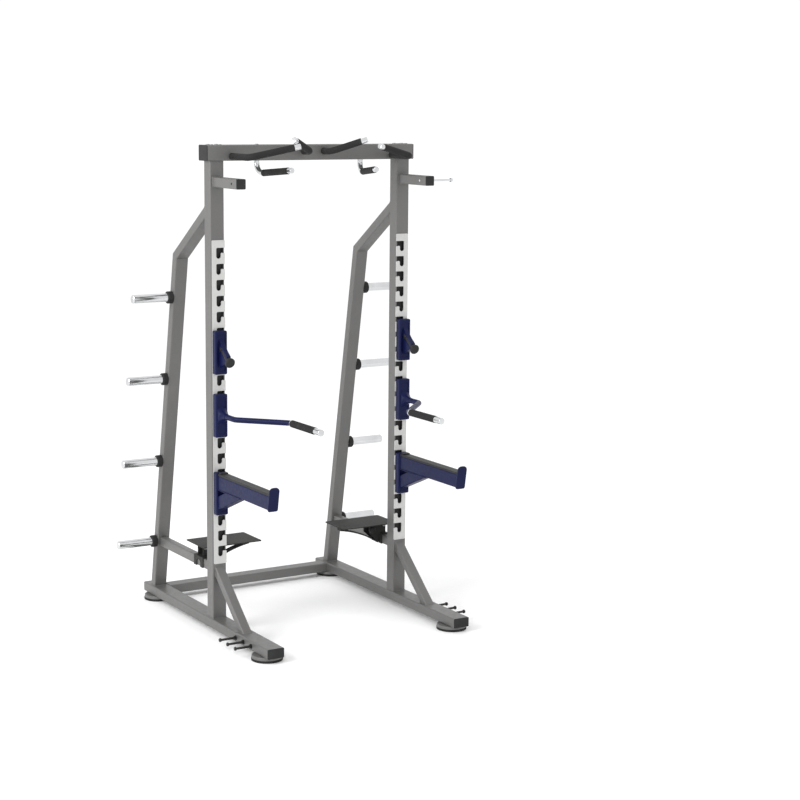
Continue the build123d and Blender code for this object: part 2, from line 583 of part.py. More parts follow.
# ---------------------------------------------------------------- dip handles
dip_block, dip_bottom = hung_block(dip_slot)
dip_z = dip_bottom + dip_height
dip_x = half_spacing - dip_inset
dip_root = (half_spacing, block_front + dish_depth, dip_z)
dip_turn = Vector(half_spacing, block_front - dip_straight, dip_z)
dip_corner = Vector(dip_x, dip_grip_y, dip_z)
dip_route = [dip_root, tuple(dip_turn), tuple(dip_corner), (dip_x, dip_tip_y, dip_z)]
tube_radius = dip_tube_diameter / 2
dip_tube = bent_tube(dip_route, dip_bend_radius, dip_tube_diameter, dip_tube_diameter - 2 * dip_tube_wall,
                     end=dip_cap_wall)
flare_plane = Plane(dip_root, x_dir=(1, 0, 0), z_dir=(0, 0, 1))
flare_middle = ((dip_flare_radius + dip_flare_end_radius) / 2 - dip_flare_sag, -dip_flare_length / 2)
flare_outline = ThreePointArc((dip_flare_radius, 0), flare_middle, (dip_flare_end_radius, -dip_flare_length))
flare_outline += Polyline((dip_flare_end_radius, -dip_flare_length), (tube_radius, -dip_flare_length),
                          (tube_radius, 0), (dip_flare_radius, 0))
dip_flare = revolve(flare_plane * make_face(flare_outline), Axis(dip_root, (0, 1, 0)))
flare_half = block_width / 2 - block_corner
dip_block += dip_flare & block(half_spacing - flare_half, half_spacing + flare_half,
                               block_front - dip_flare_length, dip_root[1],
                               dip_z - dip_flare_radius, dip_z + dip_flare_radius)
ring_start_y = dip_grip_y - grip_gap - bend_length(dip_bend_radius, dip_corner - dip_turn, Vector(0, -1, 0))
grip_start_y = ring_start_y - dip_ring_length
cap_start_y = dip_tip_y + dip_cap_length


def dip_sleeve(y0, y1, diameter):
    """A round sleeve that fills the room round the dip tube's straight end."""
    return rod((dip_x, y0, dip_z), (dip_x, y1, dip_z), diameter / 2)


dip_bore = dip_sleeve(ring_start_y + past, dip_tip_y + dip_cap_wall, dip_tube_diameter)
dip_ring = dip_sleeve(ring_start_y, grip_start_y, dip_ring_diameter) - dip_bore
dip_grip = dip_sleeve(grip_start_y, cap_start_y, dip_grip_diameter) - dip_bore
dip_cap = dip_sleeve(cap_start_y, dip_tip_y, dip_cap_diameter)
dip_cap = fillet(dip_cap.edges().group_by(Axis.Y)[0], dip_cap_round) - dip_bore
for side_name, place in (("right", lambda s: s), ("left", left_of)):
    keep("dip_block_" + side_name, place(dip_block))
    keep("dip_tube_" + side_name, place(dip_tube))
    keep("dip_grip_" + side_name, place(dip_grip))
    keep("dip_cap_" + side_name, place(dip_cap), place(dip_ring))

# ---------------------------------------------------------------- safety arms
safety_block, safety_bottom = hung_block(safety_slot)
arm_top_z = safety_bottom + safety_top
arm_bottom_z = arm_top_z - safety_height
arm_root_y = block_front + dish_depth
lean = math.radians(safety_end_lean)
end_up = Vector(0, -math.sin(lean), math.cos(lean))
end_out = Vector(0, -math.cos(lean), -math.sin(lean))
end_face = Vector(half_spacing, block_front - safety_reach, arm_top_z)
safety_arm = square_tube((half_spacing, arm_root_y, (arm_top_z + arm_bottom_z) / 2),
                         (half_spacing, end_face.Y - trim_length, (arm_top_z + arm_bottom_z) / 2),
                         safety_width, safety_height, safety_wall)
safety_arm = trim(safety_arm, end_face, end_out)
end_top = end_face + end_up * (safety_strip_thickness + safety_end_lip)
end_middle = end_top - end_up * (safety_end_height / 2)
end_shape = Rectangle(safety_end_width, safety_end_height)
upper = end_shape.vertices().sort_by(Axis.Y)[2:4]
end_shape = fillet(upper, safety_end_round)
end_shape = fillet(end_shape.vertices().sort_by(Axis.Y)[0:2], safety_end_corner)
end_plane = Plane(end_middle, x_dir=(1, 0, 0), z_dir=end_out)
end_plate = extrude(end_plane * end_shape, safety_end_thickness)
safety_strip = block(half_spacing - safety_width / 2, half_spacing + safety_width / 2,
                     end_face.Y - trim_length, block_front, arm_top_z, arm_top_z + safety_strip_thickness)
safety_strip = trim(safety_strip, end_face, end_out)
safety_strip = fillet(safety_strip.edges().filter_by(Axis.Y).group_by(Axis.Z)[-1], safety_strip_round)
heel_half = safety_width / 2 - safety_heel_inset
safety_strip += block(half_spacing - heel_half, half_spacing + heel_half,
                      block_front - safety_heel_length, block_front,
                      arm_top_z + safety_strip_thickness / 2, arm_top_z + safety_heel_height)
slope = math.radians(safety_brace_angle)
strut_run = Vector(0, -math.cos(slope), math.sin(slope))
strut_start = Vector(half_spacing, block_front, safety_bottom + safety_brace_drop)
strut_start -= Vector(0, 0, safety_brace_depth / 2 / math.cos(slope))
strut_length = (arm_bottom_z - strut_start.Z) / math.sin(slope) + 2 * trim_length
safety_brace = square_tube(strut_start - strut_run * trim_length, strut_start + strut_run * strut_length,
                           safety_width, safety_brace_depth, safety_wall)
safety_brace = trim(safety_brace, (0, arm_root_y, 0), (0, 1, 0))
safety_brace = trim(safety_brace, (0, 0, arm_bottom_z), (0, 0, 1))
safety_dish = block(half_spacing - safety_width / 2, half_spacing + safety_width / 2,
                    block_front - past, arm_root_y, safety_bottom + dish_margin, safety_bottom + block_height)
safety_block -= safety_dish
for side_name, place in (("right", lambda s: s), ("left", left_of)):
    keep("safety_block_" + side_name, place(safety_block))
    keep("safety_arm_" + side_name, place(safety_arm))
    keep("safety_end_plate_" + side_name, place(end_plate))
    keep("safety_strip_" + side_name, place(safety_strip))
    keep("safety_brace_" + side_name, place(safety_brace))

# ================================================================ fold-up platforms
saddle_y0 = platform_middle_y - saddle_length / 2
saddle_y1 = platform_middle_y + saddle_length / 2
cheek_y0 = platform_middle_y - cheek_spacing / 2
cheek_y1 = platform_middle_y + cheek_spacing / 2
saddle_top = side_rail_top + saddle_plate
cheek_inner_x = half_spacing - cheek_reach
saddle_out_x = half_spacing + side_rail_width / 2 + saddle_plate
saddle_in_x = half_spacing - side_rail_width / 2 - saddle_plate
hinge_radius = hinge_pin_diameter / 2


def along_hinge(x, z, y0, y1, radius):
    """A round bar that lies along Y, as the hinge pin does."""
    return rod((x, y0, z), (x, y1, z), radius)


def upright_plate(outline, y0, thickness):
    """A flat plate across the rack, from y0 backwards."""
    face = make_face(Polyline(*outline, close=True))
    return extrude(Plane((0, y0, 0), x_dir=(1, 0, 0), z_dir=(0, -1, 0)) * face, -thickness)


saddle = block(saddle_in_x, saddle_out_x, saddle_y0, saddle_y1, side_rail_bottom_z, saddle_top)
cheek_outline = [(cheek_inner_x, lock_z + cheek_over_lock), (cheek_inner_x, lock_z - cheek_under_lock),
                 (saddle_in_x, side_rail_bottom_z), (saddle_out_x, side_rail_bottom_z),
                 (saddle_out_x, saddle_top), (half_spacing + cheek_eye_radius, saddle_top),
                 (half_spacing + cheek_eye_radius, hinge_z), (half_spacing - cheek_eye_radius, hinge_z)]
for y0 in (cheek_y0, cheek_y1 - saddle_plate):
    saddle += upright_plate(cheek_outline, y0, saddle_plate)
    saddle += along_hinge(half_spacing, hinge_z, y0, y0 + saddle_plate, cheek_eye_radius)
saddle -= block(half_spacing - side_rail_width / 2, half_spacing + side_rail_width / 2,
                saddle_y0 - past, saddle_y1 + past, side_rail_bottom_z - past, side_rail_top)
arch_top = side_rail_bottom_z + arch_height - arch_width / 2
saddle -= block(saddle_in_x - past, saddle_out_x + past, platform_middle_y - arch_width / 2,
                platform_middle_y + arch_width / 2, side_rail_bottom_z - past, arch_top)
saddle -= rod((saddle_in_x - past, platform_middle_y, arch_top), (saddle_out_x + past, platform_middle_y, arch_top),
              arch_width / 2)
saddle -= along_hinge(half_spacing, hinge_z, cheek_y0 - past, cheek_y1 + past, hinge_radius)
saddle -= along_hinge(lock_x, lock_z, cheek_y0 - past, cheek_y0 + saddle_plate + past,
                      lock_pin_diameter / 2 + hinge_gap)
keep("platform_saddles", saddle, left_of(saddle))
head_radius = hinge_head_diameter / 2
hinge_pin = along_hinge(half_spacing, hinge_z, cheek_y0, cheek_y1, hinge_radius)
hinge_pin += along_hinge(half_spacing, hinge_z, cheek_y0 - hinge_head_length, cheek_y0, head_radius)
hinge_pin += along_hinge(half_spacing, hinge_z, cheek_y1, cheek_y1 + hinge_head_length, head_radius)
keep("platform_hinge_pins", hinge_pin, left_of(hinge_pin))

tread_bottom = platform_top_z - platform_thickness
tread_front_y = platform_middle_y - platform_depth / 2
tread = block(platform_inner_x, platform_outer_x, tread_front_y, tread_front_y + platform_depth,
              tread_bottom, platform_top_z)
tread = fillet(tread.edges().filter_by(Axis.Z), platform_corner)
lug_inner_x = cheek_inner_x + lug_inset
lug_low_z = lock_z - lug_under_lock
lug_top_z = tread_bottom + platform_thickness / 2
lug_outline = [(half_spacing + lug_eye_radius, lug_top_z), (half_spacing + lug_eye_radius, hinge_z),
               (half_spacing - lug_eye_radius, hinge_z - lug_eye_radius),
               (lock_x + lug_under_lock, lug_low_z), (lug_inner_x, lug_low_z), (lug_inner_x, lug_top_z)]
first_lug_y = cheek_y0 + saddle_plate + lug_gap
for y0 in (first_lug_y, cheek_y1 - saddle_plate - lug_gap - lug_thickness):
    tread += upright_plate(lug_outline, y0, lug_thickness)
    tread += along_hinge(half_spacing, hinge_z, y0, y0 + lug_thickness, lug_eye_radius)
tread -= along_hinge(half_spacing, hinge_z, cheek_y0, cheek_y1, hinge_radius + hinge_gap)

strut_foot_x = saddle_in_x - strut_gap
strut_low = ThreePointArc((strut_foot_x, strut_foot_z), strut_middle, strut_tip)
strut_high = Pos(0, strut_thickness, 0) * strut_low
strut_face = make_face([strut_low, strut_high, Line(strut_low @ 0, strut_high @ 0),
                        Line(strut_low @ 1, strut_high @ 1)])
strut_y0 = platform_middle_y - strut_width / 2
strut_plane = Plane((0, strut_y0, 0), x_dir=(1, 0, 0), z_dir=(0, -1, 0))
strut = extrude(strut_plane * strut_face, -strut_width)
strut += block(strut_tip[0], strut_tip[0] + strut_toe_length, strut_y0, strut_y0 + strut_width,
               strut_tip[1], tread_bottom)
knob_back_y = cheek_y0 - lock_knob_stand
lock_knob = along_hinge(lock_x, lock_z, knob_back_y - lock_knob_length, knob_back_y, lock_knob_diameter / 2)
lock_knob = fillet(lock_knob.edges(), lock_knob_round)
lock_knob += along_hinge(lock_x, lock_z, knob_back_y - past, first_lug_y - lock_gap, lock_pin_diameter / 2)
for side_name, place in (("right", lambda s: s), ("left", left_of)):
    keep("platform_tread_" + side_name, place(tread))
    keep("platform_strut_" + side_name, place(strut))
    keep("platform_lock_knob_" + side_name, place(lock_knob))

# ================================================================ files
os.makedirs("parts", exist_ok=True)
for name, shapes in nodes.items():
    solids = [solid for shape in shapes for solid in shape.solids()]
    whole = solids[0] if len(solids) == 1 else Compound(children=solids)
    export_step(whole, os.path.join("parts", name + ".step"))
print(len(nodes), "nodes")
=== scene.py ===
# %% [markdown]
# # A half rack: painted steel, chrome handles and lift-off attachments
#
# The rack is a welded and bolted frame of square tubes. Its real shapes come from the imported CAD
# model, which is loaded here and stays as it is. Blender adds what a metalworker's shop adds after
# the cutting: weld beads, knurled rubber, screws, paint, plating, light and a camera.

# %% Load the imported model
import json
import math

import bpy
from mathutils import Matrix, Vector


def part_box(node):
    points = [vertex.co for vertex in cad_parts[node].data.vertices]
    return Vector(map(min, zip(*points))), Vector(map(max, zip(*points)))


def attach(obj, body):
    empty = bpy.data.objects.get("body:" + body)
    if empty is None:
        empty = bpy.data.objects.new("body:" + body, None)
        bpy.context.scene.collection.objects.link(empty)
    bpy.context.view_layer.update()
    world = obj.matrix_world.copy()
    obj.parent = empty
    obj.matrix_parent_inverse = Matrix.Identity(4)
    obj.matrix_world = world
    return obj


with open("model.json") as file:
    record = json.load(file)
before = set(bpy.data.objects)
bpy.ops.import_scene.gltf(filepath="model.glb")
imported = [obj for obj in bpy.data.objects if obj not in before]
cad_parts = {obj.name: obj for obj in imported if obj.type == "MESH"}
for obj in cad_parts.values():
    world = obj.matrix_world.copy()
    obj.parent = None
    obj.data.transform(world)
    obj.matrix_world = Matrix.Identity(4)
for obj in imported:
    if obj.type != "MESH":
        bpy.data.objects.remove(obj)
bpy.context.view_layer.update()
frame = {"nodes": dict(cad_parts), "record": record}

nodes = frame["nodes"]

# %% [markdown]
# ## Camera
#
# A product picture of a tall rack is taken from a distance with a longish lens, so that the
# uprights stay nearly parallel. The camera is described by where it aims, how far away it stands,
# and the two angles that a tripod head has. That is easier to adjust than a raw position.

# %% Place the camera
aim = Vector((0.439, -0.227, 1.157))
distance = 9.65
azimuth, elevation, roll = math.radians(-31.62), math.radians(9.35), math.radians(0.54)

towards_camera = Vector((math.sin(azimuth) * math.cos(elevation),
                         -math.cos(azimuth) * math.cos(elevation),
                         math.sin(elevation)))
camera_data = bpy.data.cameras.new("camera")
camera = bpy.data.objects.new("camera", camera_data)
bpy.context.scene.collection.objects.link(camera)
camera.location = aim + towards_camera * distance
turn = towards_camera.to_track_quat("Z", "Y").to_matrix().to_4x4()
camera.matrix_world = Matrix.Translation(camera.location) @ turn @ Matrix.Rotation(roll, 4, "Z")
camera_data.sensor_width = 36.0
camera_data.lens = 82.83
camera_data.clip_end = 60.0
bpy.context.scene.camera = camera
print("camera at", [round(v, 3) for v in camera.location])

# %% [markdown]
# ## Studio
#
# A pale floor under a white sky is the plainest studio there is. One large soft lamp stands on
# the left, so that the left faces of the tubes are lighter than their fronts. The sky gives most
# of the light, because a white room is what makes chrome look bright and keeps shadows faint.

# %% Floor, sky and lamps
scene = bpy.context.scene
scene.view_settings.view_transform = "Standard"
world = bpy.data.worlds.new("studio")
scene.world = world
world.use_nodes = True
world.node_tree.nodes["Background"].inputs["Color"].default_value = (1.0, 1.0, 1.0, 1.0)
world.node_tree.nodes["Background"].inputs["Strength"].default_value = 1.06


def soft_lamp(name, place, size, power):
    """A square area lamp that faces the middle of the rack."""
    data = bpy.data.lights.new(name, "AREA")
    data.size = size
    data.energy = power
    lamp = bpy.data.objects.new(name, data)
    scene.collection.objects.link(lamp)
    lamp.location = place
    aim_at = Vector((0.0, 0.0, 1.1)) - lamp.location
    lamp.rotation_euler = aim_at.to_track_quat("-Z", "Y").to_euler()
    return lamp


soft_lamp("left_lamp", (-6.0, -1.0, 4.0), 3.0, 260.0)

floor_mesh = bpy.data.meshes.new("studio_floor")
reach = 40.0
floor_mesh.from_pydata([(-reach, -reach, 0), (reach, -reach, 0), (reach, reach, 0), (-reach, reach, 0)],
                       [], [(0, 1, 2, 3)])
floor = bpy.data.objects.new("studio_floor", floor_mesh)
scene.collection.objects.link(floor)

# %% [markdown]
# ## Materials
#
# Each finish is a small network of nodes. A helper makes the shader and the nodes that almost
# every finish needs, so that each recipe below reads as a list of what the surface is like.


# %% A helper for building finishes
class Finish:
    """A new material with its shader, and short ways to add and join nodes."""

    def __init__(self, name):
        self.material = bpy.data.materials.new(name)
        self.material.use_nodes = True
        self.tree = self.material.node_tree
        self.shader = self.tree.nodes["Principled BSDF"]
        self.place = self.add("ShaderNodeTexCoord").outputs["Object"]

    def add(self, kind, **values):
        node = self.tree.nodes.new(kind)
        for key, value in values.items():
            if key in node.inputs:
                node.inputs[key].default_value = value
            else:
                setattr(node, key, value)
        return node

    def join(self, output, target):
        self.tree.links.new(output, target)

    def set(self, **values):
        for key, value in values.items():
            self.shader.inputs[key.replace("_", " ")].default_value = value

    def noise(self, scale, detail=4.0, roughness=0.55, stretch=(1.0, 1.0, 1.0)):
        """Cloudy variation. scale counts blobs per metre, and stretch squeezes it along an axis."""
        mapping = self.add("ShaderNodeMapping")
        mapping.inputs["Scale"].default_value = stretch
        self.join(self.place, mapping.inputs["Vector"])
        noise = self.add("ShaderNodeTexNoise", Scale=scale, Detail=detail, Roughness=roughness)
        self.join(mapping.outputs["Vector"], noise.inputs["Vector"])
        return noise.outputs["Fac"]

    def spread(self, value, low, high, start=0.35, end=0.65):
        """Maps a 0 to 1 value to the range low to high."""
        node = self.add("ShaderNodeMapRange")
        node.inputs["From Min"].default_value = start
        node.inputs["From Max"].default_value = end
        node.inputs["To Min"].default_value = low
        node.inputs["To Max"].default_value = high
        self.join(value, node.inputs["Value"])
        return node.outputs["Result"]

    def colours(self, value, *stops):
        """A colour ramp. Each stop is a place from 0 to 1 and an (r, g, b) colour."""
        ramp = self.add("ShaderNodeValToRGB").color_ramp
        ramp_node = self.tree.nodes[-1]
        while len(ramp.elements) < len(stops):
            ramp.elements.new(0.5)
        for element, (where, colour) in zip(ramp.elements, stops):
            element.position = where
            element.color = (*colour, 1.0)
        self.join(value, ramp_node.inputs["Fac"])
        return ramp_node.outputs["Color"]

    def mix(self, share, first, second):
        """Blends two colours by a 0 to 1 share."""
        node = self.add("ShaderNodeMix", data_type="RGBA")
        self.join(share, node.inputs[0])
        self.join(first, node.inputs[6])
        if isinstance(second, tuple):
            node.inputs[7].default_value = (*second, 1.0)
        else:
            self.join(second, node.inputs[7])
        return node.outputs[2]

    def edges(self, radius, low=0.0, high=1.0):
        """A mask for painted edge highlights: 1 at sharp edges, where a rounded normal turns away from the true
        one.
        """
        bevel = self.add("ShaderNodeBevel", samples=4, Radius=radius)
        true = self.add("ShaderNodeNewGeometry").outputs["True Normal"]
        dot = self.add("ShaderNodeVectorMath", operation="DOT_PRODUCT")
        self.join(bevel.outputs["Normal"], dot.inputs[0])
        self.join(true, dot.inputs[1])
        return self.spread(dot.outputs["Value"], high, low, 0.80, 0.995)

    def bump(self, *layers, edge=0.001):
        """Stacks bump layers over softly rounded edges. Each layer is (height value, depth in metres)."""
        normal = self.add("ShaderNodeBevel", samples=4, Radius=edge).outputs["Normal"]
        for height, depth in layers:
            node = self.add("ShaderNodeBump")
            node.inputs["Distance"].default_value = depth
            self.join(height, node.inputs["Height"])
            self.join(normal, node.inputs["Normal"])
            normal = node.outputs["Normal"]
        self.join(normal, self.shader.inputs["Normal"])

    def colour(self, output):
        self.join(output, self.shader.inputs["Base Color"])

    def roughness(self, output):
        self.join(output, self.shader.inputs["Roughness"])


# %% [markdown]
# ### Silver paint
#
# The frame's tubes are powder coated in a silver grey. Powder flows a little as it bakes, which
# leaves a fine orange peel, and the metal flakes in it sparkle faintly.

# %% Silver paint
def silver_paint():
    finish = Finish("silver_paint")
    clouds = finish.noise(2.5)
    flakes = finish.noise(1400.0, 2.0)
    base = finish.colours(clouds, (0.3, (0.132, 0.130, 0.127)), (0.7, (0.152, 0.150, 0.147)))
    base = finish.mix(finish.spread(flakes, 0.0, 0.35, 0.55, 0.75), base, (0.24, 0.24, 0.24))
    # Painted highlight: the sharp edges are mixed towards a lighter grey (0.30).
    finish.colour(finish.mix(finish.edges(0.0015, 0.0, 0.35), base, (0.30, 0.30, 0.30)))
    finish.roughness(finish.spread(finish.noise(40.0), 0.38, 0.48))
    finish.set(Metallic=0.35)
    finish.bump((finish.noise(320.0, 2.0), 0.00008), edge=0.0015)
    return finish.material


# %% [markdown]
# ### Navy paint
#
# The attachments are powder coated in navy. At the usual gloss, so dark a colour would show the
# white room as a grey veil, so the shader's specular level is set low and the blue stays deep.

# %% Navy paint
def navy_paint():
    finish = Finish("navy_paint")
    clouds = finish.noise(6.0)
    base = finish.colours(clouds, (0.3, (0.0035, 0.0060, 0.040)), (0.7, (0.0050, 0.0085, 0.052)))
    # Painted highlight: the sharp edges are mixed towards a lighter navy.
    finish.colour(finish.mix(finish.edges(0.0012, 0.0, 0.4), base, (0.026, 0.030, 0.085)))
    finish.roughness(finish.spread(finish.noise(60.0), 0.34, 0.46))
    finish.set(Specular_IOR_Level=0.15)
    finish.bump((finish.noise(350.0, 2.0), 0.00008))
    return finish.material


# %% Graphite paint
def graphite_paint():
    finish = Finish("graphite_paint")
    grit = finish.noise(700.0, 3.0)
    base = finish.colours(finish.noise(9.0), (0.3, (0.022, 0.022, 0.021)), (0.7, (0.031, 0.031, 0.029)))
    # Painted highlight: the sharp edges are mixed towards a lighter grey (0.10).
    finish.colour(finish.mix(finish.edges(0.0012, 0.0, 0.3), base, (0.10, 0.10, 0.096)))
    finish.roughness(finish.spread(grit, 0.5, 0.7))
    finish.set(Specular_IOR_Level=0.18)
    finish.bump((grit, 0.0003))
    return finish.material


# %% Brushed wear plate
def wear_plate_steel():
    finish = Finish("wear_plate_steel")
    streaks = finish.noise(60.0, 6.0, 0.6, (14.0, 14.0, 0.6))
    scuffs = finish.noise(45.0, 5.0, 0.7)
    base = finish.colours(streaks, (0.3, (0.50, 0.50, 0.49)), (0.7, (0.60, 0.60, 0.59)))
    finish.colour(finish.mix(finish.spread(scuffs, 0.0, 0.35, 0.56, 0.7), base, (0.40, 0.40, 0.39)))
    finish.roughness(finish.spread(streaks, 0.36, 0.52))
    finish.set(Metallic=0.25)
    finish.bump((streaks, 0.0001), (scuffs, 0.0001))
    return finish.material


# %% Chrome plate
def chrome_plate():
    finish = Finish("chrome_plate")
    smears = finish.noise(18.0, 5.0)
    finish.colour(finish.colours(smears, (0.3, (0.60, 0.61, 0.62)), (0.7, (0.70, 0.71, 0.72))))
    finish.roughness(finish.spread(smears, 0.07, 0.20))
    finish.set(Metallic=1.0)
    finish.bump((finish.noise(90.0, 2.0), 0.00003))
    return finish.material


# %% Oiled dark steel
def dark_steel():
    finish = Finish("dark_steel")
    haze = finish.noise(70.0, 5.0)
    finish.colour(finish.colours(haze, (0.3, (0.030, 0.030, 0.031)), (0.7, (0.055, 0.054, 0.052))))
    finish.roughness(finish.spread(haze, 0.28, 0.5))
    finish.set(Metallic=0.8, Specular_IOR_Level=0.2)
    finish.bump((haze, 0.0001))
    return finish.material


# %% Zinc plated steel
def zinc_steel():
    finish = Finish("zinc_steel")
    spangle = finish.noise(260.0, 4.0)
    finish.colour(finish.colours(spangle, (0.3, (0.26, 0.26, 0.265)), (0.7, (0.36, 0.36, 0.365))))
    finish.roughness(finish.spread(spangle, 0.32, 0.5))
    finish.set(Metallic=0.7)
    finish.bump((spangle, 0.00008))
    return finish.material


# %% Black plastic
def black_plastic():
    finish = Finish("black_plastic")
    grain = finish.noise(900.0, 3.0)
    finish.colour(finish.colours(finish.noise(12.0), (0.3, (0.018, 0.018, 0.019)), (0.7, (0.028, 0.028, 0.029))))
    finish.roughness(finish.spread(grain, 0.42, 0.6))
    finish.set(Specular_IOR_Level=0.2)
    finish.bump((grain, 0.00015))
    return finish.material


# %% Black rubber
def black_rubber():
    finish = Finish("black_rubber")
    grain = finish.noise(500.0, 5.0)
    dust = finish.noise(20.0, 6.0, 0.7)
    base = finish.colours(grain, (0.3, (0.014, 0.014, 0.014)), (0.7, (0.024, 0.024, 0.024)))
    finish.colour(finish.mix(finish.spread(dust, 0.0, 0.25, 0.52, 0.72), base, (0.07, 0.068, 0.065)))
    finish.roughness(finish.spread(grain, 0.65, 0.85))
    finish.set(Specular_IOR_Level=0.2)
    finish.bump((grain, 0.0003))
    return finish.material


# %% Pale floor
def studio_paper():
    finish = Finish("studio_paper")
    fibre = finish.noise(30.0, 5.0)
    finish.colour(finish.colours(fibre, (0.3, (0.965, 0.965, 0.965)), (0.7, (0.98, 0.98, 0.98))))
    finish.roughness(finish.spread(fibre, 0.85, 0.95))
    return finish.material


# %% Give every CAD node its finish
finishes = {make.__name__: make() for make in (
    silver_paint, navy_paint, graphite_paint, wear_plate_steel, chrome_plate, zinc_steel, dark_steel,
    black_plastic, black_rubber)}
slot_of_node = {part["node"]: part["material_slot"] for part in frame["record"]["subparts"]}
own_finish = {"hook_peg_left": "dark_steel", "hook_peg_right": "dark_steel"}
for name, node in nodes.items():
    node.data.materials.clear()
    node.data.materials.append(finishes[own_finish.get(name, slot_of_node[name])])
floor.data.materials.append(studio_paper())
print("finishes:", sorted(finishes))

# %% [markdown]
# ## Small pieces
#
# The CAD model has the tubes, blocks and joints. What it leaves out is what the hands of a welder
# and a fitter add: weld beads, nuts, ribs on the grips. Each is a mesh of points and faces that is
# worked out from the boxes of the CAD nodes it belongs to, so it is always in the right place.

# %% A helper that makes a mesh piece, and says what it rides on
made = {}


def piece(name, points, faces, body, finish_name, smooth=True):
    """A new mesh object that moves with a CAD body and wears one of the finishes."""
    mesh = bpy.data.meshes.new(name)
    mesh.from_pydata([tuple(point) for point in points], [], faces)
    mesh.update()
    for polygon in mesh.polygons:
        polygon.use_smooth = smooth
    mesh.materials.append(finishes[finish_name])
    thing = bpy.data.objects.new(name, mesh)
    scene.collection.objects.link(thing)
    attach(thing, body)
    made[name] = len(points)
    return thing


def sides():
    """The rack's two sides: the word in a node's name, and the sign of x there."""
    return (("left", -1.0), ("right", 1.0))


# %% [markdown]
# ### Tubes along a path
#
# A weld bead, a rib and a serration are all the same thing to a modeller: a ring of points that is
# carried along a path and joined to the ring before it. One helper makes them all. It takes the
# radius at each point, so that a bead can swell and narrow as a real one does.

# %% A helper that carries a ring along a path
def carried_ring(path, radii, facing, ring_count=8, closed=True):
    """Points and faces of a tube round a path that lies in the plane facing looks out of."""
    points, faces = [], []
    count = len(path)
    for index, middle in enumerate(path):
        ahead = path[(index + 1) % count] if closed or index + 1 < count else middle
        behind = path[index - 1] if closed or index else middle
        aside = (ahead - behind).normalized().cross(facing).normalized()
        for step in range(ring_count):
            angle = 2 * math.pi * step / ring_count
            points.append(middle + (facing * math.sin(angle) + aside * math.cos(angle)) * radii[index])
    for index in range(count if closed else count - 1):
        this, following = index * ring_count, (index + 1) % count * ring_count
        for step in range(ring_count):
            beside = (step + 1) % ring_count
            faces.append((this + step, this + beside, following + beside, following + step))
    if not closed:
        last = (count - 1) * ring_count
        faces += [tuple(reversed(range(ring_count))), tuple(range(last, last + ring_count))]
    return points, faces


def joined(parts):
    """Puts several (points, faces) pairs into one."""
    points, faces = [], []
    for more_points, more_faces in parts:
        start = len(points)
        points += more_points
        faces += [tuple(index + start for index in face) for face in more_faces]
    return points, faces


# %% [markdown]
# ### Weld beads
#
# Where one tube stands on another, a welder runs a bead round the joint. The bead is a row of
# overlapping puddles, about as far apart as the bead is wide. Here the path is the outline of the
# tube where it meets its neighbour, and the radius swells once for each puddle. The beads lie under
# the paint, so they take the finish of the tubes.

# %% A helper that runs a bead round a rectangle
bead_radius, puddle_pitch, points_per_puddle = 0.0030, 0.0050, 4


def rectangle_path(middle, right, up, half_right, half_up, corner=0.006):
    """Evenly spaced points along a rectangle with rounded corners."""
    corners = []
    for sign_right, sign_up, first in ((1, 1, 0), (-1, 1, 90), (-1, -1, 180), (1, -1, 270)):
        centre = middle + right * sign_right * (half_right - corner) + up * sign_up * (half_up - corner)
        for turn in range(0, 91, 30):
            angle = math.radians(first + turn)
            corners.append(centre + (right * math.cos(angle) + up * math.sin(angle)) * corner)
    lengths = [(corners[index - 1] - point).length for index, point in enumerate(corners)]
    puddles = round(sum(lengths) / puddle_pitch)
    spacing = sum(lengths) / (puddles * points_per_puddle)
    path, left_over = [], 0.0
    for index, length in enumerate(lengths):
        start, run = corners[index - 1], corners[index] - corners[index - 1]
        while left_over < length - spacing * 0.01:
            path.append(start + run * (left_over / length))
            left_over += spacing
        left_over -= length
    return path


def bead(path, facing):
    radii = [bead_radius * (0.82 + 0.18 * abs(math.sin(math.pi * index / points_per_puddle)))
             for index in range(len(path))]
    return carried_ring(path, radii, facing)


# %% Where each tube ends
right, back, up = Vector((1, 0, 0)), Vector((0, 1, 0)), Vector((0, 0, 1))


def end_of(node, axis, side, at_top):
    """The middle and half sizes of a node's end face, on one side of the rack."""
    mesh = nodes[node].data
    own = [vertex.co for vertex in mesh.vertices if vertex.co.x * side > 0]
    level = (max if at_top else min)(point[axis] for point in own)
    face = [point for point in own if abs(point[axis] - level) < 0.0002]
    low = Vector([min(point[k] for point in face) for k in range(3)])
    high = Vector([max(point[k] for point in face) for k in range(3)])
    return (low + high) / 2, (high - low) / 2


def end_bead(node, axis, side, at_top):
    middle, half = end_of(node, axis, side, at_top)
    across = [(right, 0), (back, 1), (up, 2)]
    facing = across.pop(axis)[0]
    (first, i), (second, j) = across
    return bead(rectangle_path(middle, first, second, half[i], half[j]), facing)


frame_joints = (
    ("upright_{side}", 2, False), ("rear_post_{side}", 2, False), ("front_braces", 2, False),
    ("front_braces", 1, True), ("side_rails", 1, False), ("post_top_legs", 1, False),
    ("accessory_arms", 1, True))
beads = []
for word, sign in sides():
    for node, axis, at_top in frame_joints:
        beads.append(end_bead(node.format(side=word), axis, sign, at_top))
for word, sign in sides():
    beads.append(end_bead("rear_crossmember", 0, sign, sign > 0))
piece("frame_weld_beads", *joined(beads), "frame", "silver_paint")
print(len(beads), "beads on the frame,", made["frame_weld_beads"], "points")

